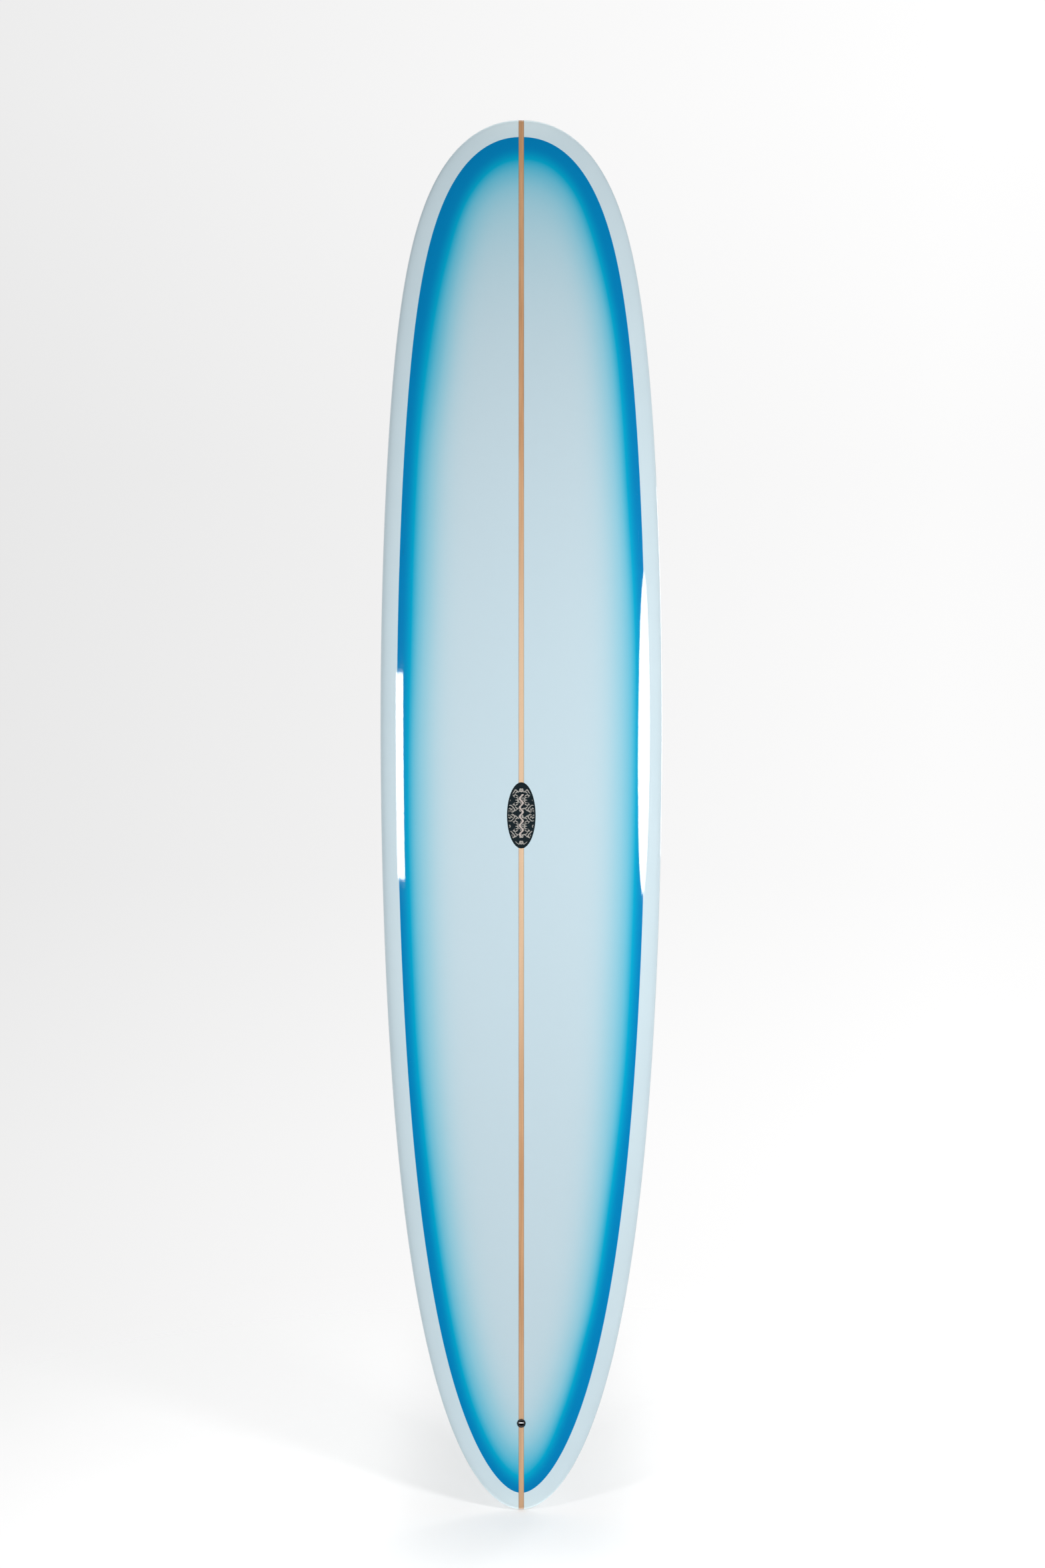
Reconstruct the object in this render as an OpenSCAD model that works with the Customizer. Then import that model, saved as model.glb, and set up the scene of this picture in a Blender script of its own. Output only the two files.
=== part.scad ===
// Surfboard: round-nosed longboard with a single removable fin.
// It stands on its tail: +Z runs from tail to nose and X is across the board.
// The deck faces -Y; the bottom and the fin face +Y, and both tips curve up towards -Y.
// The origin is on the centre line at the tail end (z = 0), in the plane that
// touches the bottom at its lowest point (y = 0). Millimetres.

/* [Outline] */

// board length, tail tip to nose tip
board_len = 2794; // [2750:1:2850]

// board width at the wide point
board_w = 578; // [560:1:600]

// height of the wide point above the tail tip
wide_z = 1589; // [1520:1:1650]

// how early the nose outline starts to draw in
nose_draw = 0.526; // [0.45:0.001:0.6]

// how abruptly the nose outline rounds over
nose_round = 7.23; // [6:0.01:8.5]

// how early the tail outline starts to draw in
tail_draw = 0.681; // [0.6:0.001:0.75]

// how abruptly the tail outline rounds over
tail_round = 4.61; // [4:0.01:5.5]

/* [Foil and rocker] */

// greatest thickness on the centre line
board_t = 73; // [70:0.5:76]

// thickness the nose and tail taper towards
tip_t = 20; // [16:0.5:24]

// rise of the nose tip above the flat of the bottom
nose_rocker = 114; // [100:1:130]

// rise of the tail tip above the flat of the bottom
tail_rocker = 83; // [75:1:90]

// fullness of the domed deck towards the rails
deck_full = 2.5; // [2.3:0.05:2.8]

// fullness of the bottom towards the rails
bottom_full = 4; // [3.6:0.1:4.5]

/* [Core] */

// width of the timber stringer
stringer_w = 9.5; // [8:0.5:11]

// thickness of the glue line on each side of the stringer
glue_t = 0.6; // [0.4:0.1:1]

/* [Skins] */

// thickness of one laminate of glass cloth
cloth_t = 0.4; // [0.3:0.05:0.5]

// thickness of the polished gloss coat
gloss_t = 0.4; // [0.3:0.05:0.5]

// distance of the deck lap line inside the outline
lap_w = 35; // [34:1:42]

// distance of the bottom lap line inside the outline
under_lap_w = 50; // [45:1:55]

// number of stations along each side of the outline
stations = 32; // [24:2:34]

/* [Badge] */

// width of the oval paper badge under the deck cloth
badge_w = 58; // [50:1:64]

// length of the oval badge along the board
badge_h = 134; // [120:1:140]

// height of the badge centre above the tail tip
badge_z = 1400; // [1390:1:1410]

/* [Leash plug] */

// height of the leash plug above the tail tip
plug_z = 175; // [172:1:180]

// outside diameter of the plug's flange
plug_d = 17; // [16.5:0.5:18]

// bore of the plug's cup
plug_bore = 11; // [10:0.5:11]

// depth of the plug body
plug_depth = 15; // [14:0.5:17]

// diameter of the cross bar a leash cord is tied to
bar_d = 3; // [2.5:0.1:3.2]

/* [Fin box] */

// height of the fin box centre above the tail tip
box_z = 336; // [330:1:345]

// length of the fin box
box_len = 267; // [262:1:270]

// width of the fin box
box_w = 26; // [25:0.5:28]

// depth of the fin box below the bottom skin
box_depth = 23; // [22:0.5:25]

// width of the slot
slot_w = 9.6; // [9.5:0.1:9.8]

// depth of the slot
slot_depth = 19.5; // [19:0.5:20]

// width across the two side grooves
groove_w = 15.6; // [15.4:0.1:16]

// thickness of the lips over the side grooves
lip_t = 4; // [3.8:0.1:4.2]

// height of the side grooves
groove_h = 5; // [4.9:0.05:5.1]

/* [Fin] */

// depth of the fin below the bottom
fin_depth = 229; // [215:1:235]

// length of the foil where it leaves the box
fin_base = 156; // [150:1:160]

// how far the fin tip lies behind the centre of the fin box
fin_rake = 118; // [105:1:125]

// thickness of the fin at its base
fin_t = 9; // [8.8:0.1:9.1]

// diameter of the fin's rear cross pin
pin_d = 4.8; // [4.7:0.05:4.8]

// diameter of the fin screw's thread
screw_d = 4; // [3.8:0.1:4.1]

/* [Hidden] */

fit = 0.05;                    // gap left round each fitted piece
cut_rise = 12;                 // pocket cutters stand this far proud of the skin

// ---- outline, foil and rocker as functions of the height z ----

half_w = board_w / 2;
nose_power = 1 / 2.1006;       // exponents of the two outline curves
tail_power = 1 / 1.9357;
low_z = 1300;                  // lowest point of the bottom rocker
nose_curl = 3;                 // exponents of the rocker towards each tip
tail_curl = 2.6;
thick_z = 1450;                // thickest point
taper_start = 2.6;             // exponents of the thickness taper
taper_end = 0.9;
apex_share = 0.41;             // share of the thickness below the rail apex

function clamp(value, top) = min(top, max(0, value));
function root(base, power) = base < 1e-9 ? 0 : pow(base, power);

// half width, with share running from 0 at the wide point to 1 at the tip
function drawn_in(share, draw, round_over, power) =
    half_w * root(1 - draw * pow(share, 2) - (1 - draw) * pow(share, round_over), power);
function outline(z) = z > wide_z
    ? drawn_in(clamp((z - wide_z) / (board_len - wide_z), 1), nose_draw, nose_round, nose_power)
    : drawn_in(clamp((wide_z - z) / wide_z, 1), tail_draw, tail_round, tail_power);

function rocker(z) = z > low_z
    ? nose_rocker * pow((z - low_z) / (board_len - low_z), nose_curl)
    : tail_rocker * pow((low_z - z) / low_z, tail_curl);
function rocker_slope(z) = rocker(z + 0.5) - rocker(z - 0.5);
function taper_share(z) =
    z > thick_z ? (z - thick_z) / (board_len - thick_z) : (thick_z - z) / thick_z;
function thick(z) = tip_t
    + (board_t - tip_t) * root(1 - pow(min(1, taper_share(z)), taper_start), taper_end);
// thickness on each side of the rail apex
function below(z) = apex_share * thick(z);
function above(z) = (1 - apex_share) * thick(z);
// the two surfaces on the centre line
function bottom_y(z) = -rocker(z);
function deck_y(z) = -(rocker(z) + thick(z));

// ---- stations along the half outline, closer together at the tips ----

bunching = 0.35 * 180 / 6.28319;   // greatest shift of a station's angle, degrees
spine_in = 150;                    // the spine stops this far short of each tip

function station_angle(i) = 180 * i / stations - bunching * sin(360 * i / stations);
function station_z(i) = board_len * (1 - cos(station_angle(i))) / 2;
function station_w(i) = i <= 0 || i >= stations ? 0 : outline(station_z(i));
function spine_z(i) = spine_in + station_z(i) * (board_len - 2 * spine_in) / board_len;

// neighbouring outline points [x, z]; past a tip they are on the other side of the board
function point_before(i) =
    i <= 0 ? [-station_w(1), station_z(1)] : [station_w(i - 1), station_z(i - 1)];
function point_after(i) = i >= stations
    ? [-station_w(stations - 1), station_z(stations - 1)]
    : [station_w(i + 1), station_z(i + 1)];
// outward normal of the outline in plan, from the neighbours
function outline_normal(i) =
    let (along = point_after(i) - point_before(i)) [along[1], -along[0]] / norm(along);
// radius share, 0 at the spine and 1 at the outline, of a line this distance inside it
function inset(i, distance) =
    let (normal = outline_normal(i), spoke = [station_w(i), station_z(i) - spine_z(i)])
    1 - distance / (spoke[0] * normal[0] + spoke[1] * normal[1]);

// ---- section levels, from the deck centre over the rail to the bottom centre ----

LAP = 4;                       // level of the deck lap line
APEX = 8;                      // level of the rail apex
UNDER = 12;                    // level of the bottom lap line
LAST = 15;                     // level of the bottom centre
BADGE = 2;                     // level that bounds the slab the badge is cut from

// radius share between a lap line (share 0) and the rail apex (share 1)
function rail_radius(i, distance, full, share) =
    let (start = asin(min(1, pow(inset(i, distance), full / 2))))
    pow(sin(start + (90 - start) * share), 2 / full);
function level_radius(i, level) =
    level <= LAP ? inset(i, lap_w) * sin(90 * level / LAP) :
    level < APEX ? rail_radius(i, lap_w, deck_full, (level - LAP) / (APEX - LAP)) :
    level == APEX ? 1 :
    level < UNDER ? rail_radius(i, under_lap_w, bottom_full, (UNDER - level) / (UNDER - APEX)) :
    inset(i, under_lap_w) * sin(90 * (LAST - level) / (LAST - UNDER));
function crown(radius, full) = root(1 - pow(radius, full), 1 / full);

// lifts outside the core
wrap_lift = 2 * cloth_t;           // outside of the second cloth
outer_lift = wrap_lift + gloss_t;  // finished surface

// a point of the skin at station i, side +1 or -1, lift outside the core;
// the outline, foil and rocker above are those of the finished surface
function skin_point(i, level, side, lift) =
    let (grow = lift - outer_lift,
         radius = level_radius(i, level),
         reach = i <= 0 || i >= stations ? 0 : station_w(i) + grow,
         edge_z = station_z(i) * (board_len + 2 * grow) / board_len - grow,
         z = radius * edge_z + (1 - radius) * spine_z(i),
         on_z = clamp(z, board_len),
         rise = level <= APEX
             ? (above(on_z) + grow) * crown(radius, deck_full)
             : -(below(on_z) + grow) * crown(radius, bottom_full))
    [side * radius * reach, -(rocker(on_z) + below(on_z) + rise), z];

// ---- a closed solid swept from a path of [level, lift] pairs ----
// The path starts and ends on the spine; between those it runs round the ring.

// path entries from one level to another at a constant lift
function run(from, to, lift) = [for (level = [from:from < to ? 1 : -1:to]) [level, lift]];

ring_n = 2 * stations;
function ring_station(j) = j <= stations ? j : ring_n - j;
function ring_side(j) = j <= stations ? 1 : -1;

module swept(path) {
    last = len(path) - 1;
    function spine_points(entry) =
        [for (i = [0:stations]) skin_point(i, entry[0], 1, entry[1])];
    points = concat(
        spine_points(path[0]),
        [for (m = [1:last - 1]) for (j = [0:ring_n - 1])
            skin_point(ring_station(j), path[m][0], ring_side(j), path[m][1])],
        spine_points(path[last]));
    // index of the point at path entry m and ring place j
    function vertex(m, j) = let (place = j % ring_n)
        m == 0 ? ring_station(place) :
        stations + 1 + (m - 1) * ring_n + (m == last ? ring_station(place) : place);
    // each quad is split from its corner nearest the spine and the board's tip,
    // so that neighbouring skins meet facet to facet and no facet lies on x = 0
    faces = [for (m = [0:last - 1]) for (j = [0:ring_n - 1])
        let (near = vertex(m, j), near_next = vertex(m, j + 1),
             far_next = vertex(m + 1, j + 1), far = vertex(m + 1, j),
             lean = inward(path[m], path[m + 1])
                 == tipward(ring_station(j), ring_station(j + 1)))
        each lean
            ? [[near, near_next, far_next], [near, far_next, far]]
            : [[near, near_next, far], [near_next, far_next, far]]];
    polyhedron(points = points, faces = faces, convexity = 6);
}
// whether a path entry lies nearer the spine than the next one
function inward(entry, next) = entry[0] == next[0]
    ? entry[1] < next[1]
    : (max(entry[0], next[0]) <= APEX) == (entry[0] < next[0]);
// whether station i lies nearer the board's tip than its neighbour
function tipward(i, neighbour) =
    (min(i, neighbour) + 0.5 < stations / 2) == (i < neighbour);

// ---- frames of the fitted hardware ----

// bottom: local +Y points out of the bottom and local +Z towards the nose
box_tilt = atan(rocker_slope(box_z));
module at_box() translate([0, bottom_y(box_z), box_z]) rotate([box_tilt, 0, 0]) children();

// deck: local +Z points out of the deck, local +Y towards the nose
plug_sink = 0.2;               // the plug's rim lies this far below the deck surface
plug_tilt = 90 - atan((deck_y(plug_z + 1) - deck_y(plug_z - 1)) / 2);
module at_plug()
    translate([0, deck_y(plug_z) + plug_sink, plug_z]) rotate([plug_tilt, 0, 0]) children();

// ---- pockets cut through core and skins ----

box_corner = 6;                // corner radius of the fin box in plan
box_bed_t = 1.6;               // resin round the fin box
plug_bed_t = 1.2;              // resin under the leash plug

// a rectangle with round corners, centred
module round_rect(width, length, radius) {
    square([width - 2 * radius, length], center = true);
    square([width, length - 2 * radius], center = true);
    for (sx = [-1, 1]) for (sy = [-1, 1])
        translate([sx * (width / 2 - radius), sy * (length / 2 - radius)])
            circle(r = radius, $fn = 32);
}
// the fin box's block, grown at its sides and floor, out to y = top in its frame
module box_prism(grow, top)
    translate([0, top, 0]) rotate([90, 0, 0])
        linear_extrude(height = top + box_depth + grow)
            round_rect(box_w + 2 * grow, box_len + 2 * grow, box_corner + grow);

module box_pocket() at_box() box_prism(box_bed_t + fit, cut_rise);
module plug_pocket() at_plug()
    translate([0, 0, -plug_depth - plug_bed_t - fit])
        cylinder(r = plug_d / 2 + fit, h = plug_depth + plug_bed_t + cut_rise + fit, $fn = 48);

// ---- core ----

foam_x = stringer_w / 2 + glue_t;  // inner face of each foam half
slice_y = 400;                     // the slicing block reaches this far either way in Y
slice_over = 50;                   // and this far past each tip

// the core between two values of x
module core_slice(x0, x1) difference() {
    intersection() {
        swept(run(0, LAST, 0));
        translate([x0, -slice_y, -slice_over])
            cube([x1 - x0, 2 * slice_y, board_len + 2 * slice_over]);
    }
    box_pocket();
    plug_pocket();
}

module foam_left() color([0.79, 0.865, 0.895]) core_slice(-foam_x - board_w, -foam_x);
module foam_right() color([0.79, 0.865, 0.895]) core_slice(foam_x, foam_x + board_w);
module glue_line_left() color([0.62, 0.44, 0.27]) core_slice(-foam_x, -stringer_w / 2);
module glue_line_right() color([0.62, 0.44, 0.27]) core_slice(stringer_w / 2, foam_x);
module stringer() color([0.84, 0.66, 0.49]) core_slice(-stringer_w / 2, stringer_w / 2);

// ---- badge under the first deck cloth ----

paper_t = 0.12;

// oval piece from the given lift up to the top of the paper
module badge_oval(floor_lift) intersection() {
    swept(concat(run(0, BADGE, paper_t), run(BADGE, 0, floor_lift)));
    translate([0, -300, badge_z]) rotate([-90, 0, 0]) linear_extrude(height = 270)
        polygon([for (a = [0:7.5:359]) [badge_w / 2 * cos(a), badge_h / 2 * sin(a)]]);
}
module badge_paper() color([0.10, 0.10, 0.11]) badge_oval(0);

// ---- glass skins ----

// first deck cloth, trimmed to the lap line
module deck_inlay_cloth() color([0.55, 0.78, 0.86, 0.55]) difference() {
    swept(concat(run(0, LAP, cloth_t), run(LAP, 0, 0)));
    plug_pocket();
    badge_oval(-1);
}
// bottom cloth, wrapped round the rails up to the deck lap line
module bottom_cloth() color([0.84, 0.90, 0.92, 0.55]) difference() {
    swept(concat(run(LAST, LAP, 0), run(LAP, LAST, cloth_t)));
    box_pocket();
}
// second deck cloth, wrapped round the rails onto the bottom
module deck_cloth() color([0.80, 0.89, 0.92, 0.45]) difference() {
    swept(concat(run(0, UNDER, wrap_lift), run(UNDER, 0, cloth_t)));
    plug_pocket();
}
// gloss coats, meeting at the rail apex
module deck_gloss() color([0.86, 0.93, 0.95, 0.30]) difference() {
    swept(concat(run(0, APEX, outer_lift), run(APEX, 0, wrap_lift)));
    plug_pocket();
}
module bottom_gloss() color([0.86, 0.93, 0.95, 0.30]) difference() {
    swept(concat(run(LAST, UNDER, cloth_t), run(UNDER, APEX, wrap_lift),
                 run(APEX, LAST, outer_lift)));
    box_pocket();
}

// ---- leash plug ----

flange_t = 2.4;
body_r = plug_d / 2 - 1.3;
cup_floor_t = 1.5;
mouth_z = -0.7;                // where the bore starts to flare
mouth_flare = 0.75;            // height and widening of the flare
bar_z = -4.6;

// a rod across the plug, its ends short of the body's side
module cross_rod(radius, end_gap)
    translate([-body_r + end_gap, 0, bar_z]) rotate([0, 90, 0])
        cylinder(r = radius, h = 2 * (body_r - end_gap), $fn = 32);

module leash_cup() color([0.05, 0.05, 0.055]) at_plug() difference() {
    union() {
        translate([0, 0, -flange_t]) cylinder(r = plug_d / 2, h = flange_t, $fn = 48);
        translate([0, 0, -plug_depth]) cylinder(r = body_r, h = plug_depth, $fn = 48);
    }
    translate([0, 0, -plug_depth + cup_floor_t])
        cylinder(r = plug_bore / 2, h = plug_depth, $fn = 48);
    translate([0, 0, mouth_z])
        cylinder(r1 = plug_bore / 2, r2 = plug_bore / 2 + mouth_flare, h = mouth_flare, $fn = 48);
    cross_rod(bar_d / 2 + 0.02, 0.5);
}
module leash_bar() color([0.82, 0.83, 0.84]) at_plug() cross_rod(bar_d / 2, 0.6);
module leash_bed() color([0.90, 0.91, 0.88]) at_plug() difference() {
    translate([0, 0, -plug_depth - plug_bed_t])
        cylinder(r = plug_d / 2, h = plug_depth + plug_bed_t - flange_t - fit, $fn = 48);
    translate([0, 0, -plug_depth - fit]) cylinder(r = body_r + fit, h = plug_depth, $fn = 48);
}

// ---- fin box, sanded flush with the bottom ----

slot_end = 13;                 // solid box beyond each end of the slot
entry_z = 8;                   // rear end of the opening through the lips
entry_len = 17;
box_proud = 4;                 // box and bed stand this proud before trimming

// the finished board between the deck's and the bottom's middle levels
module board_middle() swept(concat(run(0, 1, outer_lift), run(LAST - 1, LAST, outer_lift)));

// a cutter centred on x = 0, from its floor y and rear z
module box_cut(width, floor_y, rear_z, height, length)
    translate([-width / 2, floor_y, rear_z]) cube([width, height, length]);

module fin_box() color([0.06, 0.06, 0.065]) intersection() {
    at_box() difference() {
        box_prism(0, box_proud);
        box_cut(slot_w, -slot_depth, -box_len / 2 + slot_end,
                slot_depth + 10, box_len - 2 * slot_end);
        box_cut(groove_w, -lip_t - groove_h, -box_len / 2 + slot_end,
                groove_h, box_len - 2 * slot_end);
        box_cut(groove_w, -lip_t - 1, entry_z, 12, entry_len);
    }
    board_middle();
}
module fin_box_bed() color([0.88, 0.91, 0.90]) intersection() {
    at_box() difference() {
        box_prism(box_bed_t, box_proud);
        box_prism(fit, box_proud + 2);
    }
    board_middle();
}

// ---- fin, its pin, screw and plate ----

tab_back = -88;                // ends of the tab that sits in the slot
tab_front = 70;
tab_depth = 18;
tab_cut = 5;                   // size of the cut on the tab's lower corners
ear_front = 94;                // the ear that takes the screw
ear_y0 = -lip_t + 0.1;
ear_y1 = -1.5;
pin_z = tab_back + 9;
pin_y = -lip_t - groove_h / 2;
screw_z = 83;
groove_gap = 0.4;              // pin and plate stop this far short of the groove's sides
plate_t = 2.4;
plate_len = 14;
plate_y = -lip_t - fit;        // outer face of the plate, drawn up under the lips

// control points [z, y] of the foil's two edges, from base to tip
foil_back = tab_back + 2;
lead_curve = [[foil_back + fin_base, 0], [foil_back + fin_base - 26, fin_depth * 0.50],
              [-8, fin_depth * 0.86], [-fin_rake, fin_depth]];
trail_curve = [[foil_back, 0], [foil_back + 34, fin_depth * 0.28],
               [foil_back + 6, fin_depth * 0.66], [-fin_rake, fin_depth]];
function bezier(curve, t) = pow(1 - t, 3) * curve[0] + 3 * pow(1 - t, 2) * t * curve[1]
    + 3 * (1 - t) * t * t * curve[2] + pow(t, 3) * curve[3];

spans = 16;                    // sections from base to tip
chords = 20;                   // steps from leading to trailing edge
foil_sink = 0.6;               // the base section lies this far inside the tab
foil_lift = 0.3;               // the other sections are moved out by this much
skin_half = 0.3;               // half thickness kept beside the sharp edges
foil_trim = 0.6;               // taken off the half thickness before it is shaped

function chord_share(step) = (1 - cos(180 * step / chords)) / 2;
// thickness of a section along its chord, about 1 at its greatest
function foil_share(share) = 2.88 * (0.62 * sqrt(share) + 0.30 * share - 0.92 * share * share);
function foil_half(t, share) =
    skin_half + (fin_t / 2 - foil_trim) * pow(1 - t, 0.75) * foil_share(share);

module fin_foil() {
    ring = 2 * chords;
    last = spans - 1;
    // one ring of points round each section, leading edge first, then the tip
    points = concat(
        [for (n = [0:last])
            let (t = n == 0 ? 0 : (n - 0.35) / (spans - 0.65),
                 lead = bezier(lead_curve, t), trail = bezier(trail_curve, t))
            for (c = [0:ring - 1])
                let (step = c <= chords ? c : ring - c, side = c <= chords ? 1 : -1,
                     share = chord_share(step), mid = lead * (1 - share) + trail * share,
                     half = step == 0 || step == chords ? 0 : foil_half(t, share))
                [side * half, n == 0 ? -foil_sink : mid[1] + foil_lift, mid[0]]],
        [[0, fin_depth, -fin_rake]]);
    sides = [for (n = [0:last - 1]) for (c = [0:ring - 1])
        let (here = n * ring, next = here + ring, d = (c + 1) % ring)
        each [[here + c, next + d, here + d], [here + c, next + c, next + d]]];
    tip = [for (c = [0:ring - 1]) [last * ring + c, spans * ring, last * ring + (c + 1) % ring]];
    base = [[for (c = [0:ring - 1]) c]];
    polyhedron(points = points, faces = concat(sides, tip, base), convexity = 4);
}
// tab in the slot with its lower corners cut back, and the ear in front of it
module fin_tab()
    translate([fin_t / 2, 0, 0]) rotate([0, -90, 0]) linear_extrude(height = fin_t)
        polygon([[tab_back, 0], [tab_back, tab_cut - tab_depth],
                 [tab_back + tab_cut, -tab_depth], [tab_front - tab_cut, -tab_depth],
                 [tab_front, tab_cut - tab_depth], [tab_front, ear_y0],
                 [ear_front, ear_y0], [ear_front, ear_y1],
                 [tab_front + 1.5, ear_y1], [tab_front, 0]]);
module pin_rod(radius, length)
    translate([-length / 2, pin_y, pin_z]) rotate([0, 90, 0])
        cylinder(r = radius, h = length, $fn = 32);
module screw_hole(gap)
    translate([0, -30, screw_z]) rotate([-90, 0, 0])
        cylinder(r = screw_d / 2 + gap, h = 40, $fn = 32);

module fin() color([0.12, 0.13, 0.14]) at_box() difference() {
    union() {
        fin_foil();
        fin_tab();
    }
    pin_rod(pin_d / 2 + 0.02, 40);
    screw_hole(0.25);
}
module fin_pin() color([0.80, 0.66, 0.36]) at_box()
    pin_rod(pin_d / 2, groove_w - 2 * groove_gap);

head_r = 3.7;
head_h = 1.6;                  // straight part of the head
shank_len = 12;
point_h = 1;
drive_w = 1.2;                 // cross recess in the head
drive_z = 1.2;
drive_len = 10;
module fin_screw() color([0.78, 0.79, 0.80]) at_box()
    translate([0, ear_y1 + fit, screw_z]) rotate([-90, 0, 0]) difference() {
        union() {
            cylinder(r = head_r, h = head_h, $fn = 40);
            translate([0, 0, head_h]) cylinder(r1 = head_r, r2 = 2.6, h = 0.7, $fn = 40);
            translate([0, 0, -shank_len]) cylinder(r = screw_d / 2, h = shank_len + 0.5, $fn = 32);
            translate([0, 0, -shank_len - point_h])
                cylinder(r1 = screw_d / 2 - 0.8, r2 = screw_d / 2, h = point_h, $fn = 32);
        }
        for (size = [[drive_w, drive_len], [drive_len, drive_w]])
            translate([-size[0] / 2, -size[1] / 2, drive_z]) cube([size[0], size[1], 3]);
    }
module fin_plate() color([0.72, 0.73, 0.74]) at_box() difference() {
    box_cut(groove_w - 2 * groove_gap, plate_y - plate_t, screw_z - plate_len / 2,
            plate_t, plate_len);
    screw_hole(0.05);
}

foam_left();
foam_right();
glue_line_left();
glue_line_right();
stringer();
badge_paper();
deck_inlay_cloth();
bottom_cloth();
deck_cloth();
deck_gloss();
bottom_gloss();
leash_cup();
leash_bar();
leash_bed();
fin_box();
fin_box_bed();
fin();
fin_pin();
fin_screw();
fin_plate();
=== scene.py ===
"""A longboard with a stringer, sprayed rails, a leash plug and one fin, upright on its tail.

X runs across the board with its left at -X, and Z runs from the tail at 0 up to the nose.
The deck faces -Y, towards the camera. The bottom and the fin face +Y.
Geometry is worked out in mm and stored in metres. Material, light and camera values are in metres.
"""
import math
from functools import cached_property, partialmethod

import bmesh
import bpy
import numpy as np
from mathutils import Matrix, Vector


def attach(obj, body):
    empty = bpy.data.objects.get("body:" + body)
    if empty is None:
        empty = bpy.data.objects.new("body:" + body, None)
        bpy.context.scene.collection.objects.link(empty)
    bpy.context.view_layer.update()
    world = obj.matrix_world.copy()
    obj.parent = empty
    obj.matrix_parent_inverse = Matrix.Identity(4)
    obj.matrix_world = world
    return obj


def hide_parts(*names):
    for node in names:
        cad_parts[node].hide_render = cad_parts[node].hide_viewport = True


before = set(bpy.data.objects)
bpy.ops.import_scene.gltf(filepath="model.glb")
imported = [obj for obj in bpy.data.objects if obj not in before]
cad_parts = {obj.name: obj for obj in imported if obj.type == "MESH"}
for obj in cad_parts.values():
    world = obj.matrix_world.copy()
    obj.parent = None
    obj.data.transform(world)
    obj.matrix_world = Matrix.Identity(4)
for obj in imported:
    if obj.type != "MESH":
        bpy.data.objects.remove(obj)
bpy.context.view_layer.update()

scene = bpy.context.scene
scene.view_settings.view_transform = "Standard"
scene.view_settings.look = "None"

LENGTH, HALF_WIDTH = 2794.0, 289.0
WIDE_Z, LOW_Z, THICK_Z = 1589.0, 1300.0, 1450.0  # widest, least rocker, thickest
NOSE_ROCKER, TAIL_ROCKER = 114, 83
TIP_THICK, EXTRA_THICK = 20, 53     # at the tips, and what the middle has over that
DECK_SHARE, BOTTOM_SHARE = 0.59, 0.41  # of the thickness, over and under the rail
DECK_POWER, BOTTOM_POWER = 2.5, 4.0    # superellipse powers of the section
SPINE_END = 150                     # the spine stops this far inside each tip
SPINE_LENGTH = LENGTH - 2 * SPINE_END
SKIN = 1.2                          # all the glass and gloss over the foam
SKIN_UNDERSIDE = 0.15
LAP_INSET = 35.0                    # the deck's lap line, inside the outline
UNDER_LAP_INSET = 50.0              # the cloth's trimmed edge on the bottom
STRINGER_X, FOAM_X = 4.75, 5.35     # outer faces of the stringer and of the glue lines

SPRAY_FALL = 20.4                   # width of the spray's soft inner edge
HAZE_WIDTH, HAZE_DENSITY = 55.0, 0.35  # the wide, faint spray round the lap line
OFF_DECK = -200                     # distance inside the lap line given to the bottom
# Changes along the board: amount, z where it starts, run in z (negative: towards the tail)
SPREAD_LEFT = [(5, 1000, -450), (-4, 420, -250), (6, 1350, 450), (14, 2230, 400)]
SPREAD_RIGHT = [(10, 950, -400), (4, 430, -120), (-6, 200, -130), (8, 1700, 400), (8, 2300, 300)]
SPREAD_RIGHT_BASE = -2
DRIFT_LEFT = [(0.04, 900, -300), (0.10, 1500, 400), (0.20, 2100, 250), (-0.20, 2520, 120)]
DRIFT_RIGHT = [(0.04, 1900, 300), (0.07, 2400, 120), (-0.08, 2560, 90), (0.03, 400, -110)]

BOX_Z, BOX_TILT = 336.0, -5.8738    # fin box centre, and its tilt about X in degrees
BOX_WIDTH, BOX_LENGTH, BOX_CORNER, BOX_DEPTH = 26, 267, 6, 23
BED_GAP, POCKET_GAP = 1.6, 1.65     # outside the box, to its resin's and its pocket's walls
PLUG_Z, PLUG_PROUD = 175.0, 0.2
X_AXIS, Y_AXIS = 0, 1


# ---------------------------------------------------------------------------
# The board's surface
# ---------------------------------------------------------------------------
def outline(z):
    """Half the width, by one fitted curve from the wide point to each tip."""
    z = np.asarray(z, float)
    up = np.clip((z - WIDE_Z) / (LENGTH - WIDE_Z), 0, 1)
    down = np.clip((WIDE_Z - z) / WIDE_Z, 0, 1)
    nose = np.maximum(1 - 0.526 * up**2 - 0.474 * up**7.23, 0) ** (1 / 2.1006)
    tail = np.maximum(1 - 0.681 * down**2 - 0.319 * down**4.61, 0) ** (1 / 1.9357)
    return HALF_WIDTH * np.where(z > WIDE_Z, nose, tail)


def rocker(z):
    """How far the bottom's centre line has curved towards the deck side."""
    z = np.asarray(z, float)
    nose = NOSE_ROCKER * (np.maximum(z - LOW_Z, 0) / (LENGTH - LOW_Z)) ** 3
    tail = TAIL_ROCKER * (np.maximum(LOW_Z - z, 0) / LOW_Z) ** 2.6
    return np.where(z > LOW_Z, nose, tail)


def thickness(z):
    z = np.asarray(z, float)
    off = np.where(z > THICK_Z, (z - THICK_Z) / (LENGTH - THICK_Z), (THICK_Z - z) / THICK_Z)
    return TIP_THICK + EXTRA_THICK * np.maximum(1 - np.minimum(1, np.abs(off)) ** 2.6, 0) ** 0.9


def below(z):
    return BOTTOM_SHARE * thickness(z)


def above(z):
    return DECK_SHARE * thickness(z)


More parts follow.
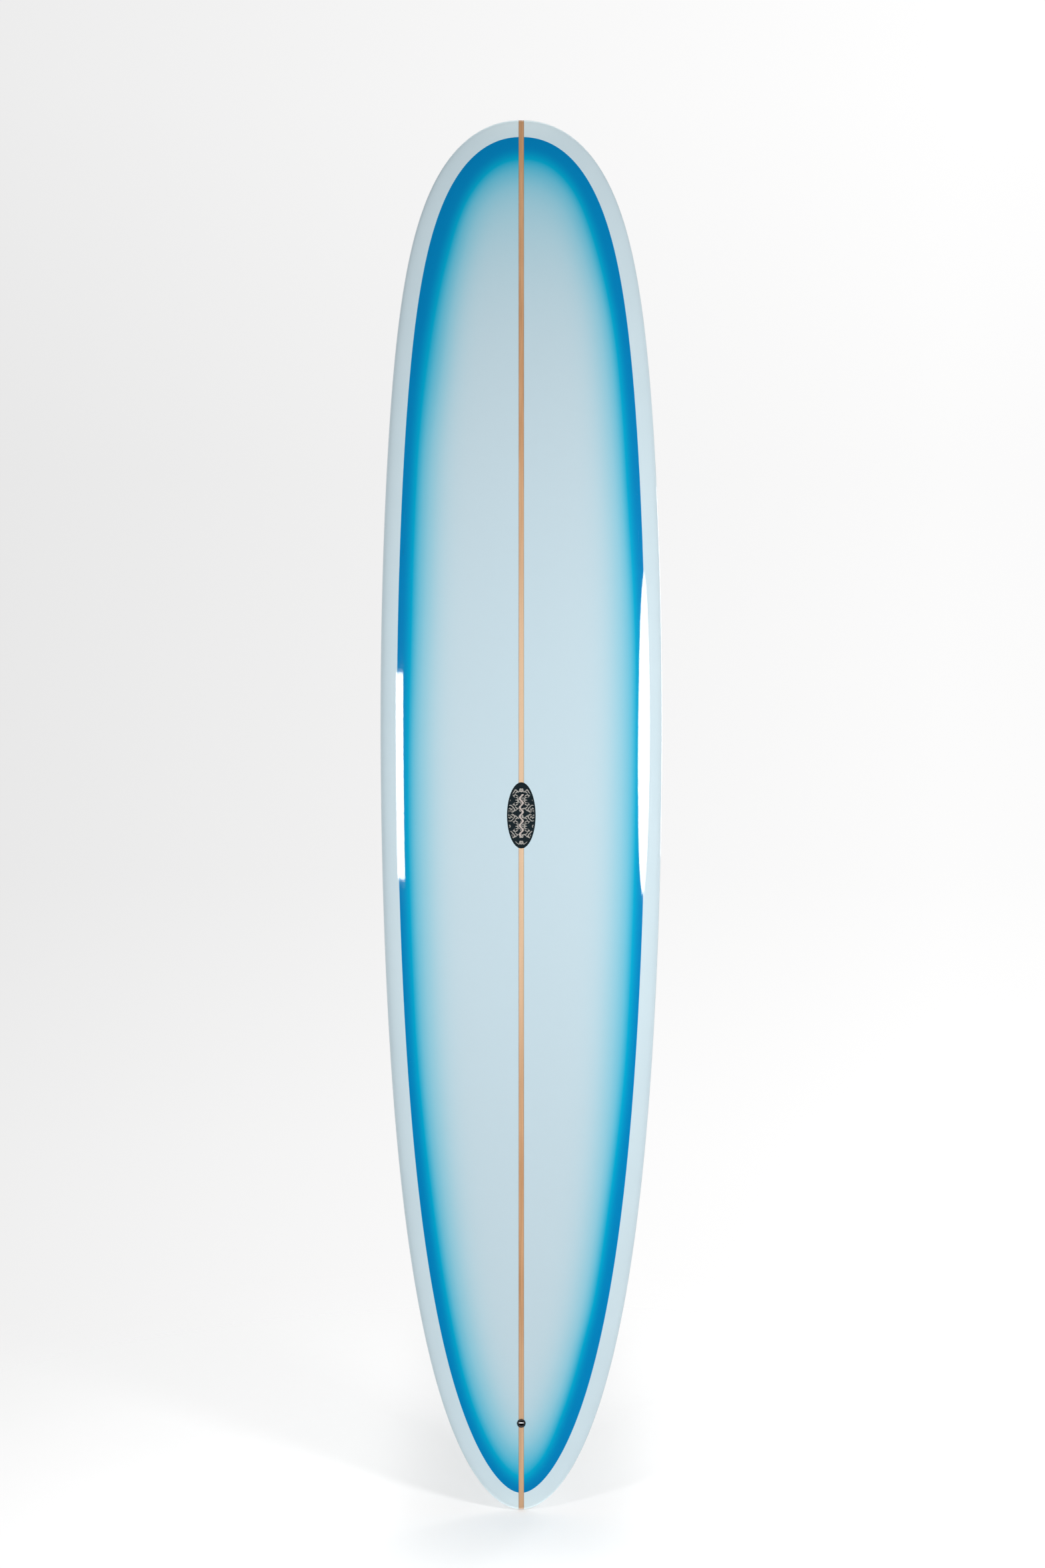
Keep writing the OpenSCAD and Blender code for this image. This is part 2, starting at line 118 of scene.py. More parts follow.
def edge_at(angle):
    z = LENGTH * (1 - np.cos(angle)) / 2
    return outline(z) * np.where((angle < 0) | (angle > math.pi), -1, 1), z


def stations(count):
    """Outline x and z, outward normal x and z, and spine z, from tail to nose.

    There are count + 1 stations, crowded towards the tips.
    """
    i = np.arange(count + 1)
    angle = math.pi * i / count - 0.175 * np.sin(2 * math.pi * i / count)
    x, z = edge_at(angle)
    x[0] = x[-1] = 0
    (x1, z1), (x0, z0) = edge_at(angle + 2e-3), edge_at(angle - 2e-3)
    along_x, along_z = x1 - x0, z1 - z0
    size = np.hypot(along_x, along_z)
    return x, z, along_z / size, -along_x / size, SPINE_END + z * SPINE_LENGTH / LENGTH


def reach_of(rows):
    """Distance from spine to outline, along the outline's normal."""
    x, z, normal_x, normal_z, spine_z = rows
    return x * normal_x + (z - spine_z) * normal_z


def crown(radius, power):
    return (1 - radius**power) ** (1 / power)


def superellipse(angle, power):
    c, s = np.abs(np.cos(angle)), np.abs(np.sin(angle))
    rho = (c**power + s**power) ** (-1 / power)
    return rho * c, rho * s


def section(rows, inner, rail, bottom):
    """Radius and crown of each station and level, deck centre to bottom centre.

    Levels are fractions of the way over the deck inside the lap, the rail and the bottom.
    """
    lap = 1 - LAP_INSET / reach_of(rows)
    lap_angle = np.arctan2(crown(lap, DECK_POWER), lap)
    ones, zeros = np.ones_like(lap), np.zeros_like(lap)
    levels = [(lap * s, crown(lap * s, DECK_POWER)) for s in inner]
    levels += [superellipse((1 - s) * lap_angle, DECK_POWER) if s < 1 else (ones, zeros)
               for s in rail]
    levels += [superellipse(ones * (s * math.pi / 2), BOTTOM_POWER) if s < 1 else (zeros, ones)
               for s in bottom]
    radius, height = (np.array(values).T for values in zip(*levels))
    height[:, len(inner) + len(rail):] *= -1
    return radius, height


def surface(rows, radius, height, lift):
    """Points on the right side of the board at a lift over the foam."""
    x, z, normal_x, normal_z, spine_z = (values[:, None] for values in rows)
    offset = lift - SKIN
    out_x = radius * np.maximum(x + offset * normal_x, 0)
    out_x[0] = out_x[-1] = 0
    out_z = radius * (z + offset * normal_z) + (1 - radius) * spine_z
    on_board = np.clip(out_z, 0, LENGTH)
    half = np.where(height >= 0, above(on_board) + offset, below(on_board) + offset)
    return out_x, -(rocker(on_board) + below(on_board) + half * height), out_z


def level_radius(x, z, offset=0):
    """The level radius under a point of the plan, by rounds of substitution."""
    x, z = np.abs(np.asarray(x, float)), np.asarray(z, float)
    edge_z = z.copy()
    slope = SPINE_LENGTH / LENGTH
    for _ in range(14):
        r = np.clip(x / np.maximum(outline(edge_z) + offset, 1), 0, 1)
        edge_z = np.clip((z - (1 - r) * SPINE_END) / (r + (1 - r) * slope), 0, LENGTH)
    return r


def deck_y(x, z, lift=SKIN):
    offset = lift - SKIN
    rise = (above(z) + offset) * crown(level_radius(x, z, offset), DECK_POWER)
    return -(rocker(z) + below(z) + rise)


def bottom_y(x, z):
    return -(rocker(z) + below(z) - below(z) * crown(level_radius(x, z), BOTTOM_POWER))


# ---------------------------------------------------------------------------
# Mesh helpers
# ---------------------------------------------------------------------------
def new_object(name, points, faces):
    mesh = bpy.data.meshes.new(name)
    mesh.from_pydata((np.asarray(points, float) / 1000).tolist(), [],
                     [list(map(int, face)) for face in faces])
    mesh.update()
    piece = bpy.data.objects.new(name, mesh)
    scene.collection.objects.link(piece)
    return piece


def solid(name, points, faces):
    """A closed mesh with its normals outward."""
    piece = new_object(name, points, faces)
    bm = bmesh.new()
    bm.from_mesh(piece.data)
    bmesh.ops.recalc_face_normals(bm, faces=bm.faces)
    if bm.calc_volume(signed=True) < 0:
        bmesh.ops.reverse_faces(bm, faces=bm.faces)
    bm.to_mesh(piece.data)
    bm.free()
    piece.data.update()
    return piece


def smooth(piece, degrees):
    piece.data.shade_smooth()
    piece.data.set_sharp_from_angle(angle=math.radians(degrees))


def boolean(piece, tool, operation="DIFFERENCE"):
    """Apply an exact boolean and use up the tool."""
    modifier = piece.modifiers.new("cut", "BOOLEAN")
    modifier.operation, modifier.solver, modifier.object = operation, "EXACT", tool
    graph = bpy.context.evaluated_depsgraph_get()
    result = bpy.data.meshes.new_from_object(
        piece.evaluated_get(graph), preserve_all_data_layers=True, depsgraph=graph)
    piece.modifiers.clear()
    old, piece.data = piece.data, result
    bpy.data.meshes.remove(old)
    bpy.data.objects.remove(tool)


def place(piece, matrix):
    piece.data.transform(matrix)
    piece.data.update()
    return piece


def grid_faces(index):
    rows, cols = index.shape
    return [(index[i, k], index[i + 1, k], index[i + 1, k + 1], index[i, k + 1])
            for i in range(rows - 1) for k in range(cols - 1)]


def mirrored_grid(x, y, z, shared_columns):
    """Both sides of a half grid: points, each side's indices, and the mask of mirrored points.

    The two end rows and the columns on the centre plane are shared.
    """
    points = np.stack([x, y, z], -1).reshape(-1, 3)
    right = np.arange(x.size).reshape(x.shape)
    left = right.copy()
    own = np.ones(x.shape, bool)
    own[0] = own[-1] = False
    own[:, shared_columns] = False
    extra = points[right[own]].copy()
    extra[:, 0] *= -1
    left[own] = len(points) + np.arange(own.sum())
    return np.vstack([points, extra]), right, left, own


def extrude(name, loop, axis, start, end):
    """A prism along an axis, on a loop of the other two coordinates."""
    n = len(loop)
    points = [(*pair[:axis], stop, *pair[axis:]) for stop in (start, end) for pair in loop]
    faces = [tuple(range(n)), tuple(range(n, 2 * n))]
    faces += [(i, (i + 1) % n, n + (i + 1) % n, n + i) for i in range(n)]
    return solid(name, points, faces)


def circle(radius, u, v, count=40):
    angles = [2 * math.pi * j / count for j in range(count)]
    return [(u + radius * math.cos(a), v + radius * math.sin(a)) for a in angles]


def round_rect(width, length, radius, steps=14):
    loop = []
    for side_x, side_z, start in ((1, 1, 0), (-1, 1, 90), (-1, -1, 180), (1, -1, 270)):
        for j in range(steps + 1):
            a = math.radians(start + 90 * j / steps)
            loop.append((side_x * (width / 2 - radius) + radius * math.cos(a),
                         side_z * (length / 2 - radius) + radius * math.sin(a)))
    return loop


def lathe(name, profile, closed, count=96):
    """A profile of (radius, height) turned round local Z; closed joins its last row to its first.

    A row of radius 0 is one point.
    """
    points, rings = [], []
    for radius, height in profile:
        size = count if radius else 1
        rings.append(range(len(points), len(points) + size))
        points += [(radius * math.cos(2 * math.pi * j / count),
                    radius * math.sin(2 * math.pi * j / count), height) for j in range(size)]
    faces = []
    for low, high in list(zip(rings, rings[1:])) + ([(rings[-1], rings[0])] if closed else []):
        if len(low) == len(high) == 1:
            continue
        for j in range(count):
            k = (j + 1) % count
            if len(low) == 1:
                faces.append((low[0], high[k], high[j]))
            elif len(high) == 1:
                faces.append((low[j], low[k], high[0]))
            else:
                faces.append((low[j], low[k], high[k], high[j]))
    return solid(name, points, faces)


# Local frames with +Y out of the bottom at the box, and +Z out of the deck at the plug
AT_BOX = (Matrix.Translation((0, -float(rocker(BOX_Z)) / 1000, BOX_Z / 1000))
          @ Matrix.Rotation(math.radians(BOX_TILT), 4, "X"))
plug_slope = float((deck_y(0, PLUG_Z + 1) - deck_y(0, PLUG_Z - 1)) / 2)
plug_y = float(deck_y(0, PLUG_Z)) + PLUG_PROUD
AT_PLUG = (Matrix.Translation((0, plug_y / 1000, PLUG_Z / 1000))
           @ Matrix.Rotation(math.pi / 2 - math.atan(plug_slope), 4, "X"))


def box_prism(name, gap, top):
    """The fin box's outer shape, grown by a gap all round and run up to a local y."""
    loop = round_rect(BOX_WIDTH + 2 * gap, BOX_LENGTH + 2 * gap, BOX_CORNER + gap)
    return place(extrude(name, loop, Y_AXIS, -BOX_DEPTH - gap, top), AT_BOX)


def box_pocket():
    return box_prism("cutter", POCKET_GAP, 12)


def plug_pocket():
    profile = [(0, -16.25), (8.55, -16.25), (8.55, 12), (0, 12)]
    return place(lathe("cutter", profile, closed=False), AT_PLUG)


# ---------------------------------------------------------------------------
# Node helpers
# ---------------------------------------------------------------------------
class Graph:
    """A node tree. Each kind of sum below becomes a method, such as graph.add(a, b)."""

    def __init__(self, owner, output):
        owner.use_nodes = True
        self.tree = owner.node_tree
        self.tree.nodes.clear()
        self.output = self.node(output)

    def node(self, kind, inputs=None, **settings):
        node = self.tree.nodes.new("ShaderNode" + kind)
        for key, value in settings.items():
            setattr(node, key, value)
        for key, value in (inputs or {}).items():
            self.put(node.inputs[key], value)
        return node

    def put(self, socket, value):
        """Link or set a socket. Colours are given as three values."""
        if isinstance(value, bpy.types.NodeSocket):
            self.tree.links.new(value, socket)
        elif value is not None:
            socket.default_value = (*value, 1) if socket.type == "RGBA" else value

    def calc(self, operation, a, b=None, c=None, clamp=False):
        inputs = {0: a, 1: b, 2: c}
        return self.node("Math", inputs, operation=operation, use_clamp=clamp).outputs[0]

    def varied(self, value, span, base, clamp=False):
        """base + span * value"""
        return self.calc("MULTIPLY_ADD", value, span, base, clamp)

    def decay(self, value, rate):
        return self.exponent(self.multiply(value, -rate))

    def attribute(self, name):
        return self.node("Attribute", attribute_name=name).outputs["Fac"]

    @cached_property
    def position(self):
        return self.node("TexCoord").outputs["Object"]

    def xyz(self):
        return self.node("SeparateXYZ", {0: self.position}).outputs

    def noise(self, scale, detail=2.0, rough=0.5, vector=None):
        """Noise at one scale, or at a scale along each axis."""
        if isinstance(scale, tuple):
            mapping = self.node("Mapping", {"Vector": self.position, "Scale": scale})
            vector, scale = mapping.outputs[0], 1.0
        elif vector is None:
            vector = self.position
        inputs = {"Vector": vector, "Scale": scale, "Detail": detail, "Roughness": rough}
        return self.node("TexNoise", inputs).outputs["Fac"]

    def mix(self, factor, a, b):
        return self.node("Mix", {0: factor, 6: a, 7: b}, data_type="RGBA").outputs[2]

    def ramp(self, factor, stops):
        node = self.node("ValToRGB", {0: factor})
        elements = node.color_ramp.elements
        while len(elements) < len(stops):
            elements.new(0.5)
        for element, (at, colour) in zip(elements, stops):
            element.position, element.color = at, (*colour, 1)
        return node.outputs[0]

    def bump(self, height, strength, distance):
        inputs = {"Strength": strength, "Distance": distance, "Height": height}
        return self.node("Bump", inputs).outputs[0]


for operation in ("ADD", "SUBTRACT", "MULTIPLY", "DIVIDE", "POWER", "EXPONENT", "SQRT", "SINE",
                  "ABSOLUTE", "MINIMUM", "MAXIMUM", "LESS_THAN", "GREATER_THAN", "PINGPONG"):
    setattr(Graph, operation.lower(), partialmethod(Graph.calc, operation))


class Material(Graph):
    """A material with one principled shader."""

    def __init__(self, name):
        self.material = bpy.data.materials.new(name)
        super().__init__(self.material, "OutputMaterial")
        self.shader = self.node("BsdfPrincipled")
        self.put(self.output.inputs[0], self.shader.outputs[0])

    def set(self, **inputs):
        """Set the shader's inputs, with underscores for the spaces in their names."""
        for key, value in inputs.items():
            self.put(self.shader.inputs[key.replace("_", " ")], value)


def wear(piece, material):
    piece.data.materials.clear()
    piece.data.materials.append(material.material)


def finish_with(piece, material, body, slot, *replaced):
    wear(piece, material)
    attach(piece, body)
    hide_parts(*replaced)


def keep_cad(name, material, bevel=0.0):
    """Give a CAD piece its material and, if asked, a bevel in mm."""
    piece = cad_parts[name]
    wear(piece, material)
    if bevel:
        edge = piece.modifiers.new("edge", "BEVEL")
        edge.width, edge.segments = bevel / 1000, 2
        edge.limit_method, edge.angle_limit = "ANGLE", math.radians(35)


def under_gloss(mat, roughness=0.42, specular=0.12):
    """The finish of anything set under the polished resin."""
    wave = mat.noise((7, 7, 2.2), detail=1.0)
    smear = mat.noise((40, 40, 14), detail=3.0)
    mat.set(Roughness=roughness, Specular_IOR_Level=specular, Coat_Weight=1.0, Coat_IOR=1.57,
            Coat_Roughness=mat.varied(smear, span=0.03, base=0.02),
            Coat_Normal=mat.bump(wave, strength=0.10, distance=0.004))


# ---------------------------------------------------------------------------
# Foam core, cut into two halves, two glue lines and the stringer
# ---------------------------------------------------------------------------
board_stations = stations(400)


def ease(v):
    v = np.clip(v, 0, 1)
    return v * v * (3 - 2 * v)


def eased_steps(z, table, base=0):
    return sum((amount * ease((z - start) / run) for amount, start, run in table), base)


def lap_distances(x, z):
    """Plan distance of each grid point to the lap line, and the haze of spray built up there."""
    fine = stations(4000)
    edge_x, edge_z, normal_x, normal_z, spine_z = fine
    radius = 1 - LAP_INSET / reach_of(fine)
    lap_x = radius * np.maximum(edge_x - SKIN * normal_x, 0)
    lap_z = radius * (edge_z - SKIN * normal_z) + (1 - radius) * spine_z
    step = np.hypot(np.gradient(lap_x), np.gradient(lap_z))
    distance, haze = np.empty(x.shape), np.empty(x.shape)
    for i in range(len(x)):
        row_x, off_z = x[i][:, None], z[i][:, None] - lap_z
        near = (row_x - lap_x) ** 2 + off_z**2
        far = (row_x + lap_x) ** 2 + off_z**2  # to the other side's lap line
        distance[i] = np.sqrt(near.min(1))
        both_laps = np.exp(-near / HAZE_WIDTH**2) + np.exp(-far / HAZE_WIDTH**2)
        haze[i] = (both_laps * step).sum(1)
    return distance, haze * (HAZE_DENSITY / (HAZE_WIDTH * math.sqrt(math.pi)))


def build_core():
    """The whole foam shape, with the attributes that drive the spray's colour."""
    inner = np.linspace(0, 1, 36)
    rail = np.linspace(0, 1, 17)[1:]
    bottom = np.linspace(0, 1, 43)[1:]
    radius, height = section(board_stations, inner, rail, bottom)
    grid = surface(board_stations, radius, height, 0.0)
    points, right, left, own = mirrored_grid(*grid, [0, -1])
    core = solid("core", points, grid_faces(right) + grid_faces(left))

    on_deck = np.arange(radius.shape[1]) < len(inner) + len(rail)
    lap_column = len(inner) - 1
    inside, haze = lap_distances(grid[0], grid[2])
    inside[:, lap_column] = 0
    inside[:, lap_column + 1:] *= -1
    inside[:, ~on_deck] = OFF_DECK

    def both(values):
        return np.concatenate([values.reshape(-1), values[own]])

    x, z = points[:, 0], points[:, 2]
    lean = 0.5 + 0.5 * np.tanh(x / 60)  # 0 on the left, 1 on the right
    from_lap = both(inside)
    spread = (eased_steps(z, SPREAD_LEFT) * (1 - lean)
              + eased_steps(z, SPREAD_RIGHT, SPREAD_RIGHT_BASE) * lean)
    bare = 1 - np.exp(-(np.maximum(from_lap - spread, 0) / SPRAY_FALL) ** 2)
    # extra spray at the nose and the tail, then uneven spray along each rail
    extra = (0.33 * np.exp(-np.maximum(2762 - z, 0) / 110) * bare
             + 0.10 * np.exp(-np.maximum(z - 62, 0) / 75) * bare)
    drift = eased_steps(z, DRIFT_LEFT) * (1 - lean) + eased_steps(z, DRIFT_RIGHT) * lean
    extra += drift * np.exp(-(np.maximum(from_lap, 0) / 60) ** 2) * bare

    edge = (1 - radius) * reach_of(board_stations)[:, None]
    top = np.broadcast_to(on_deck.astype(float), radius.shape)
    for name, values in (("inside", from_lap / 1000), ("wide", both(haze) + extra),
                         ("spread", spread / 1000), ("edge", both(edge) / 1000),
                         ("top", both(top))):
        attribute = core.data.attributes.new(name, "FLOAT", "POINT")
        attribute.data.foreach_set("value", np.asarray(values, np.float32))
    return core


def slice_core(core, name, x0, x1):
    """The core between two planes across the board, closed where it was cut."""
    piece = bpy.data.objects.new(name, core.data.copy())
    scene.collection.objects.link(piece)
    bm = bmesh.new()
    bm.from_mesh(piece.data)
    for x, sign in ((x0, -1), (x1, 1)):
        if x is None:
            continue
        bmesh.ops.bisect_plane(bm, geom=bm.verts[:] + bm.edges[:] + bm.faces[:], dist=1e-7,
                               plane_co=(x / 1000, 0, 0), plane_no=(sign, 0, 0), clear_outer=True)
        rim = [edge for edge in bm.edges if edge.is_boundary]
        bmesh.ops.holes_fill(bm, edges=rim, sides=0)
    bmesh.ops.recalc_face_normals(bm, faces=bm.faces)
    bm.to_mesh(piece.data)
    bm.free()
    return piece


def foam_material():
    """Pale foam under a spray whose absorption grows with its density."""
    foam = Material("sprayed_foam")
    grain = foam.noise(950, rough=0.6)
    cloud = foam.noise((5, 5, 2.4))
    gap = foam.maximum(foam.subtract(foam.attribute("inside"), foam.attribute("spread")), 0.0)
    bell = foam.decay(foam.power(foam.divide(gap, SPRAY_FALL / 1000), 2.0), rate=1.0)
    density = foam.add(foam.multiply(bell, 0.80), foam.attribute("wide"))
    density = foam.multiply(density, foam.varied(grain, span=0.16, base=0.92))
    density = foam.multiply(density, foam.varied(cloud, span=0.12, base=0.94))
    # hard masked edge at the outline of the sprayed deck
    paint = foam.varied(foam.attribute("inside"), span=1600.0, base=0.5, clamp=True)
    density = foam.multiply(density, paint)

    def channel(pale, absorption):
        return foam.multiply(foam.decay(density, absorption), pale)

    lost_red = foam.multiply(foam.subtract(1.0, foam.decay(density, rate=3.0)), 0.08)
    red = foam.maximum(foam.subtract(channel(0.600, absorption=3.7), lost_red), 0.0)
    green, blue = channel(0.735, absorption=1.0), channel(0.800, absorption=0.36)
    sprayed = foam.node("CombineColor", {0: red, 1: green, 2: blue}).outputs[0]

    mottle = foam.noise((16, 16, 9), detail=3.0)
    bare = foam.mix(mottle, (0.650, 0.778, 0.836), (0.700, 0.825, 0.878))
    # painted light: the bare foam is painted paler close to both tips, standing in for light from
    # above on the upturned tips
    z = foam.xyz()[2]
    tip_light = foam.add(foam.decay(foam.subtract(z, LENGTH / 1000), rate=-36.0),
                    foam.decay(z, rate=36.0), clamp=True)
    bare = foam.mix(tip_light, bare, (0.84, 0.97, 1.0))
    # the lapped cloth darkens the bottom's border
    border = foam.subtract(UNDER_LAP_INSET / 1000, foam.attribute("edge"))
    lapped = foam.multiply(foam.subtract(1.0, foam.attribute("top"), clamp=True),
                           foam.varied(border, span=1500.0, base=0.5, clamp=True))
    bare = foam.mix(foam.multiply(lapped, 0.55), bare, (0.575, 0.708, 0.763))
    under_gloss(foam, specular=0.02)
    foam.set(Base_Color=foam.mix(paint, bare, sprayed),
             Normal=foam.bump(foam.noise(1400), strength=0.10, distance=0.0002))
    return foam


def glue_material():
    glue = Material("glue_seam")
    streaks = glue.noise((500, 500, 26), detail=3.0)
    browns = [(0.3, (0.23, 0.125, 0.058)), (0.7, (0.36, 0.215, 0.115))]
    glue.set(Base_Color=glue.ramp(streaks, browns))
    under_gloss(glue)
    return glue


def timber_material():
    """Long-grained wood, paler at the tail, and with a painted sheen that pales it round the middle
    of the board.
    """
    timber = Material("stringer_timber")
    fibre = timber.noise((900, 120, 7), detail=4.0, rough=0.62)
    band = timber.noise((60, 30, 5.5))
    tone = timber.add(timber.multiply(fibre, 0.62), timber.multiply(band, 0.38))
    grown = timber.ramp(tone, [(0.30, (0.47, 0.225, 0.090)), (0.50, (0.63, 0.332, 0.162)),
                               (0.70, (0.76, 0.445, 0.240))])
    # painted highlight: the broad reflection of the lights along the stringer is painted in as
    # paler wood round the middle of the board
    sheen_z, sheen_run, tail_end = 1.42, 0.54, 0.46
    off = timber.divide(timber.subtract(timber.xyz()[2], sheen_z), sheen_run)
    painted_sheen = timber.decay(timber.power(timber.absolute(off), 4.0), rate=1.0)
    tail = timber.multiply(timber.subtract(tail_end, timber.xyz()[2]), 4.0, clamp=True)
    pale = timber.maximum(painted_sheen, timber.multiply(tail, 0.42))
    timber.set(Base_Color=timber.mix(timber.multiply(pale, 0.75), grown, (0.86, 0.62, 0.415)))
    under_gloss(timber, roughness=0.5)
    return timber


core = build_core()
core_pieces = [slice_core(core, *cut) for cut in (
    ("blank_half_left", None, -FOAM_X), ("blank_half_right", FOAM_X, None),
    ("glue_seam_left", -FOAM_X, -STRINGER_X), ("glue_seam_right", STRINGER_X, FOAM_X),
    ("timber_stringer", -STRINGER_X, STRINGER_X))]
bpy.data.objects.remove(core)
for piece in core_pieces:
    boolean(piece, plug_pocket())
    boolean(piece, box_pocket())
    smooth(piece, 40)
foam, glue, timber = foam_material(), glue_material(), timber_material()
for piece, finish in zip(core_pieces, (
        (foam, "board", "blank_foam", "foam_left"),
        (foam, "board", "blank_foam", "foam_right"),
        (glue, "board", "glue", "glue_line_left"),
        (glue, "board", "glue", "glue_line_right"),
        (timber, "board", "stringer_timber", "stringer"))):
    finish_with(piece, *finish)


# ---------------------------------------------------------------------------
# Clear skins: cloths and gloss coats, deck and bottom
# ---------------------------------------------------------------------------
def skin(name, inner=(), rail=(), bottom=()):
    """A closed shell over the deck or the bottom, open nowhere but thin at the rail."""
    radius, height = section(board_stations, inner, rail, bottom)
    centre, free = (0, -1) if len(inner) else (-1, 0)
    points, faces, rims = [], [], []
    for lift in (SKIN_UNDERSIDE, SKIN):
        layer, right, left, _ = mirrored_grid(
            *surface(board_stations, radius, height, lift), [centre])
        for side in (right + len(points), left + len(points)):
            faces += grid_faces(side)
            rims.append(side[:, free])
        points += layer.tolist()
    for low, high in zip(rims[:2], rims[2:]):
        faces += [(low[i], low[i + 1], high[i + 1], high[i]) for i in range(len(low) - 1)]
    return solid(name, points, faces)


def clear_resin(name, tint):
    resin = Material(name)
    cloth = resin.noise((900, 900, 900), detail=1.0)
    smear = resin.noise((60, 60, 20), detail=3.0)
    light_tint = tuple(min(1, c * 1.06) for c in tint)
    resin.set(Base_Color=resin.mix(cloth, tint, light_tint), Alpha=0.012, Coat_Weight=1.0,
              Roughness=resin.varied(smear, span=0.05, base=0.03), Coat_Roughness=0.03)
    return resin


deck_skin = skin("clear_deck_skin", inner=np.linspace(0, 1, 16), rail=np.linspace(0, 1, 12)[1:])
bottom_skin = skin("clear_bottom_skin", bottom=np.linspace(0, 1, 28))
boolean(deck_skin, plug_pocket())
boolean(bottom_skin, box_pocket())
smooth(deck_skin, 40)
smooth(bottom_skin, 40)
finish_with(deck_skin, clear_resin("clear_deck_resin", (0.02, 0.22, 0.30)), "board",
            "gloss_resin", "deck_gloss", "deck_cloth", "deck_inlay_cloth")
finish_with(bottom_skin, clear_resin("clear_bottom_resin", (0.10, 0.24, 0.30)), "board",
            "gloss_resin", "bottom_gloss", "bottom_cloth")

# ---------------------------------------------------------------------------
# Badge: an oval of paper lying on the foam, with a speckled pattern
# ---------------------------------------------------------------------------
BADGE_Z, BADGE_WIDTH, BADGE_HEIGHT = 1400.0, 58.0, 134.0
BADGE_LIFTS = (0.02, 0.13)          # its back and its face, over the foam


def build_badge(rings=18, around=120):
    points, faces = [], []
    for lift in BADGE_LIFTS:
        for q in range(rings + 1):
            for j in range(around if q else 1):
                a = 2 * math.pi * j / around
                x = BADGE_WIDTH / 2 * q / rings * math.cos(a)
                z = BADGE_Z + BADGE_HEIGHT / 2 * q / rings * math.sin(a)
                points.append((x, float(deck_y(x, z, lift)), z))

    def at(layer, q, j):
        first = layer * (1 + rings * around)
        return first if q == 0 else first + 1 + (q - 1) * around + j % around

    for layer in (0, 1):
        for j in range(around):
            faces.append((at(layer, 0, 0), at(layer, 1, j), at(layer, 1, j + 1)))
            faces += [(at(layer, q, j), at(layer, q + 1, j),
                       at(layer, q + 1, j + 1), at(layer, q, j + 1)) for q in range(1, rings)]
    faces += [(at(0, rings, j), at(1, rings, j), at(1, rings, j + 1), at(0, rings, j + 1))
              for j in range(around)]
    badge = solid("paper_badge", points, faces)
    smooth(badge, 40)
    return badge


def badge_material():
    """Pale rings and scrolls on black, mirrored about the centre, with a wavy upright stroke."""
    ink = Material("badge_print")
    x, _, z = ink.xyz()
    u = ink.divide(x, BADGE_WIDTH / 2000)
    v = ink.divide(ink.subtract(z, BADGE_Z / 1000), BADGE_HEIGHT / 2000)
    radius = ink.sqrt(ink.add(ink.multiply(u, u), ink.multiply(v, v)))
    fold_height = 0.0265
    folded = {0: ink.absolute(x), 1: 0.0, 2: ink.pingpong(z, fold_height)}
    fold = ink.node("CombineXYZ", folded).outputs[0]
    cells = ink.node("TexVoronoi", {"Vector": fold, "Scale": 92}).outputs["Distance"]
    rings = ink.greater_than(ink.sine(ink.multiply(cells, 14.0)), 0.45)
    curl = ink.absolute(ink.subtract(ink.noise(105, rough=0.55, vector=fold), 0.5))
    scroll = ink.less_than(curl, 0.028)
    field = ink.less_than(radius, 0.90)
    mark = ink.multiply(ink.maximum(rings, scroll), field)

    stroke_turns, stroke_sway = 345.0, 0.0030
    wave_x = ink.multiply(ink.sine(ink.multiply(z, stroke_turns)), stroke_sway)
    stroke_span = ink.less_than(ink.absolute(v), 0.64)

    def stroke(half_width):
        near = ink.less_than(ink.absolute(ink.subtract(x, wave_x)), half_width)
        return ink.multiply(near, stroke_span)

    pale = ink.mix(ink.noise(120), (0.20, 0.185, 0.17), (0.56, 0.52, 0.47))
    printed = ink.mix(mark, (0.004, 0.006, 0.008), pale)
    broad = ink.greater_than(ink.noise(92, detail=1.0, rough=0.4, vector=fold), 0.52)
    printed = ink.mix(broad, printed, (0.005, 0.007, 0.009))
    printed = ink.mix(stroke(0.0033), printed, (0.012, 0.012, 0.013))
    ink.set(Base_Color=ink.mix(stroke(0.0021), printed, (0.55, 0.47, 0.43)))
    under_gloss(ink, roughness=0.6)
    return ink


finish_with(build_badge(), badge_material(), "board", "badge_print", "badge_paper")

# ---------------------------------------------------------------------------
# Leash plug
# ---------------------------------------------------------------------------
# The cup's half section: radius, height over its rim
CUP_PROFILE = [
    (7.2, -15.0), (7.2, -2.4), (8.35, -2.4), (8.5, -2.25), (8.5, -0.28), (8.44, -0.12),
    (8.3, -0.02), (8.1, 0.0), (6.6, 0.0), (6.42, -0.03), (6.25, -0.13), (5.62, -0.62),
    (5.5, -0.85), (5.5, -12.9), (5.3, -13.35), (4.9, -13.5), (0, -13.5), (0, -15.0)]
BAR_HOLE_RADIUS, BAR_HOLE_HEIGHT, BAR_HOLE_HALF = 1.52, -4.6, 6.72


def black_plastic(name, level=0.018, grain=2600, rough=0.34):
    plastic = Material(name)
    fleck = plastic.noise(grain, detail=3.0)
    dark = (level, level, level * 1.08)
    light = (level * 1.7, level * 1.7, level * 1.85)
    wear_noise = plastic.noise(320, detail=3.0)
    plastic.set(Base_Color=plastic.mix(plastic.noise(90, detail=3.0), dark, light),
                Roughness=plastic.varied(wear_noise, span=0.16, base=rough - 0.08),
                Normal=plastic.bump(fleck, strength=0.18, distance=0.00015))
    return plastic


def metal(name, tint, rough, scale, metallic=1.0):
    """Metal brushed along the axis of the lowest scale."""
    steel = Material(name)
    brushed = steel.noise(scale, detail=3.0, rough=0.6)
    steel.set(Base_Color=steel.mix(brushed, tuple(c * 0.88 for c in tint), tint),
              Metallic=metallic, Roughness=steel.varied(brushed, span=0.16, base=rough - 0.08),
              Normal=steel.bump(brushed, strength=0.05, distance=0.0001))
    return steel


